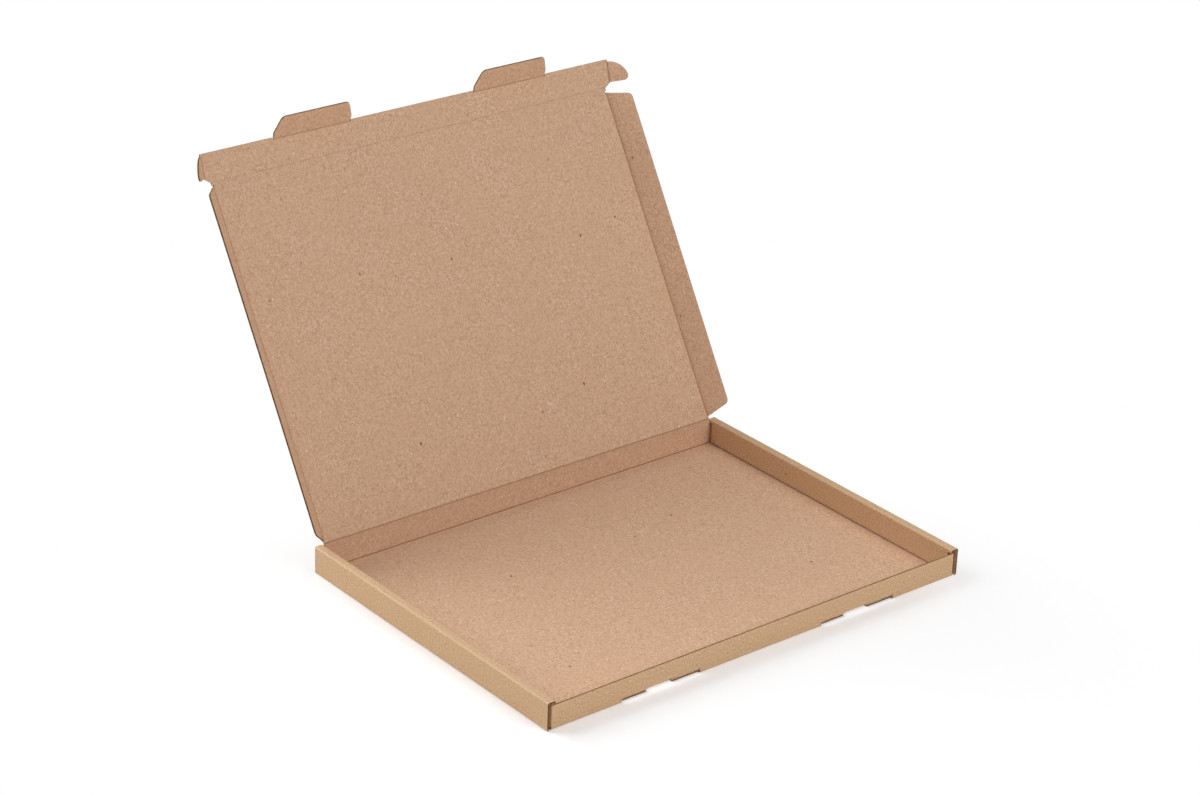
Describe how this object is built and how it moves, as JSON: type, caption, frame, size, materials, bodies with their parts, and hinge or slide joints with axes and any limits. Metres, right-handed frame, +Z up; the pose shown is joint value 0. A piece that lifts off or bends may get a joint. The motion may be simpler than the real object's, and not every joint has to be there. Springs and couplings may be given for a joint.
{
  "type": "flat shipping box",
  "caption": "Shallow corrugated board mailing box with double side walls and a hinged lid that tucks in with side flaps, end ears and front locking tabs.",
  "frame": {"origin": "middle of the tray's underside", "axes": "+X across the box to the right seen from the front, +Y towards the lid's hinge, +Z up"},
  "size_m": [0.3681, 0.3868, 0.2694],
  "materials": {
    "kraft_board": "uncoated brown kraft liner, matt, with fine fibres and specks"
  },
  "bodies": {
    "tray": {"tray": "kraft_board"},
    "lid": {"lid_panel": "kraft_board"},
    "left_side_flap": {"lid_left_flap": "kraft_board"},
    "right_side_flap": {"lid_right_flap": "kraft_board"},
    "front_flap": {"lid_front_flap": "kraft_board"},
    "left_tab": {"front_tab_left": "kraft_board"},
    "right_tab": {"front_tab_right": "kraft_board"},
    "left_ear": {"lid_left_ear": "kraft_board"},
    "right_ear": {"lid_right_ear": "kraft_board"}
  },
  "joints": [
    {"name": "lid_hinge", "type": "hinge", "parent": "tray", "child": "lid", "pos_m": [0, 0.1243, 0.0203], "axis": [1, 0, 0], "range_deg": [-58.5, 121.5]},
    {"name": "left_flap_fold", "type": "hinge", "parent": "lid", "child": "left_side_flap", "pos_m": [-0.1682, 0.1249, 0.01993], "axis": [0, 0.5225, 0.8526], "range_deg": [-40.59, 84.2]},
    {"name": "right_flap_fold", "type": "hinge", "parent": "lid", "child": "right_side_flap", "pos_m": [0.1682, 0.1249, 0.01993], "axis": [0, -0.5225, -0.8526], "range_deg": [-40.59, 84.2]},
    {"name": "front_flap_fold", "type": "hinge", "parent": "lid", "child": "front_flap", "pos_m": [0, 0.25604, 0.23395], "axis": [1, 0, 0], "range_deg": [-15, 75]},
    {"name": "left_tab_fold", "type": "hinge", "parent": "front_flap", "child": "left_tab", "pos_m": [-0.084, 0.26155, 0.25255], "axis": [1, 0, 0], "range_deg": [-35, 55]},
    {"name": "right_tab_fold", "type": "hinge", "parent": "front_flap", "child": "right_tab", "pos_m": [0.084, 0.26155, 0.25255], "axis": [1, 0, 0], "range_deg": [-35, 55]},
    {"name": "left_ear_fold", "type": "hinge", "parent": "front_flap", "child": "left_ear", "pos_m": [-0.17335, 0.25604, 0.23395], "axis": [0, 0.284, 0.9588], "range_deg": [-47.5, 42.5]},
    {"name": "right_ear_fold", "type": "hinge", "parent": "front_flap", "child": "right_ear", "pos_m": [0.17335, 0.25604, 0.23395], "axis": [0, -0.284, -0.9588], "range_deg": [-36, 54]}
  ],
  "couplings": [
    {"joint": "left_flap_fold", "follows": "lid_hinge", "ratio": 0.6922},
    {"joint": "right_flap_fold", "follows": "lid_hinge", "ratio": 0.6922}
  ]
}
